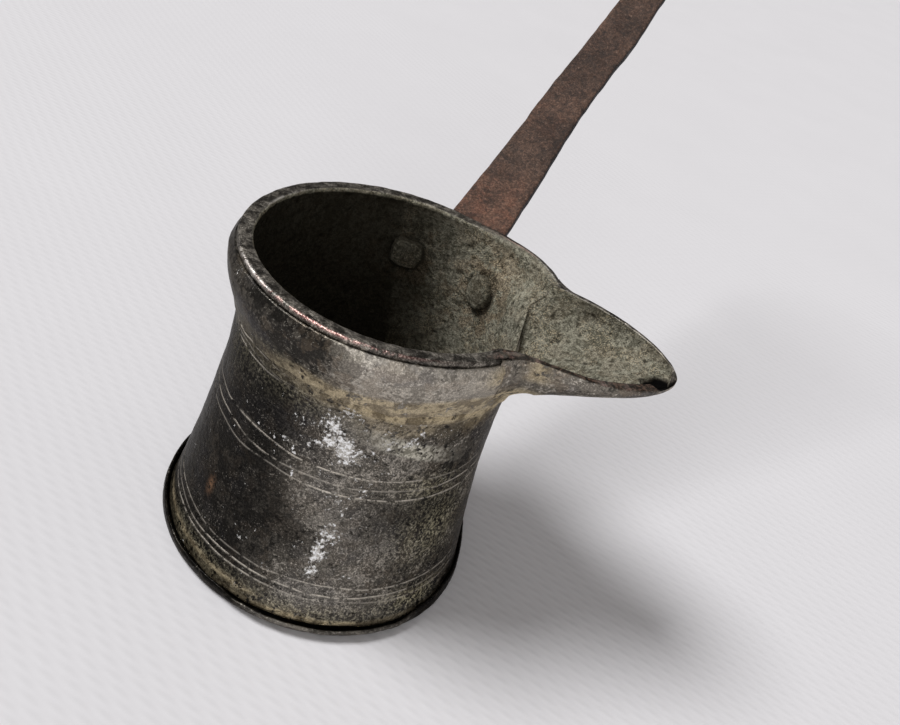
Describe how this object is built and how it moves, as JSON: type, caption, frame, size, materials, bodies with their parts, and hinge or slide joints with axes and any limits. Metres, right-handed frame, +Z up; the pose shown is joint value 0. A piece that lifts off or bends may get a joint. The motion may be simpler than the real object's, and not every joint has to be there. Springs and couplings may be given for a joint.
{
  "type": "long-handled coffee pot",
  "caption": "Waisted copper coffee pot with a flat turned lip, bulged collar, beak spout and a riveted iron strap handle.",
  "frame": {"origin": "centre of the base's flat underside, the face the pot stands on", "axes": "+Z up along the pot's own axis; +X out along the pouring spout; the handle leaves at 77 degrees from +X towards +Y"},
  "size_m": [0.0997, 0.2357, 0.1722],
  "materials": {
    "tinned_copper": "aged, blackened tin over copper, crusted and scratched",
    "collar_tin": "grey worn tin over copper",
    "forged_iron": "rust brown, forged, matt",
    "rivet_copper": "dull crusted copper"
  },
  "bodies": {
    "root": {"body_shell": "tinned_copper", "rim_collar": "collar_tin", "pouring_spout": "collar_tin", "base_disc": "tinned_copper", "handle": "forged_iron", "rivet_left": "rivet_copper", "rivet_right": "rivet_copper"}
  },
  "joints": []
}
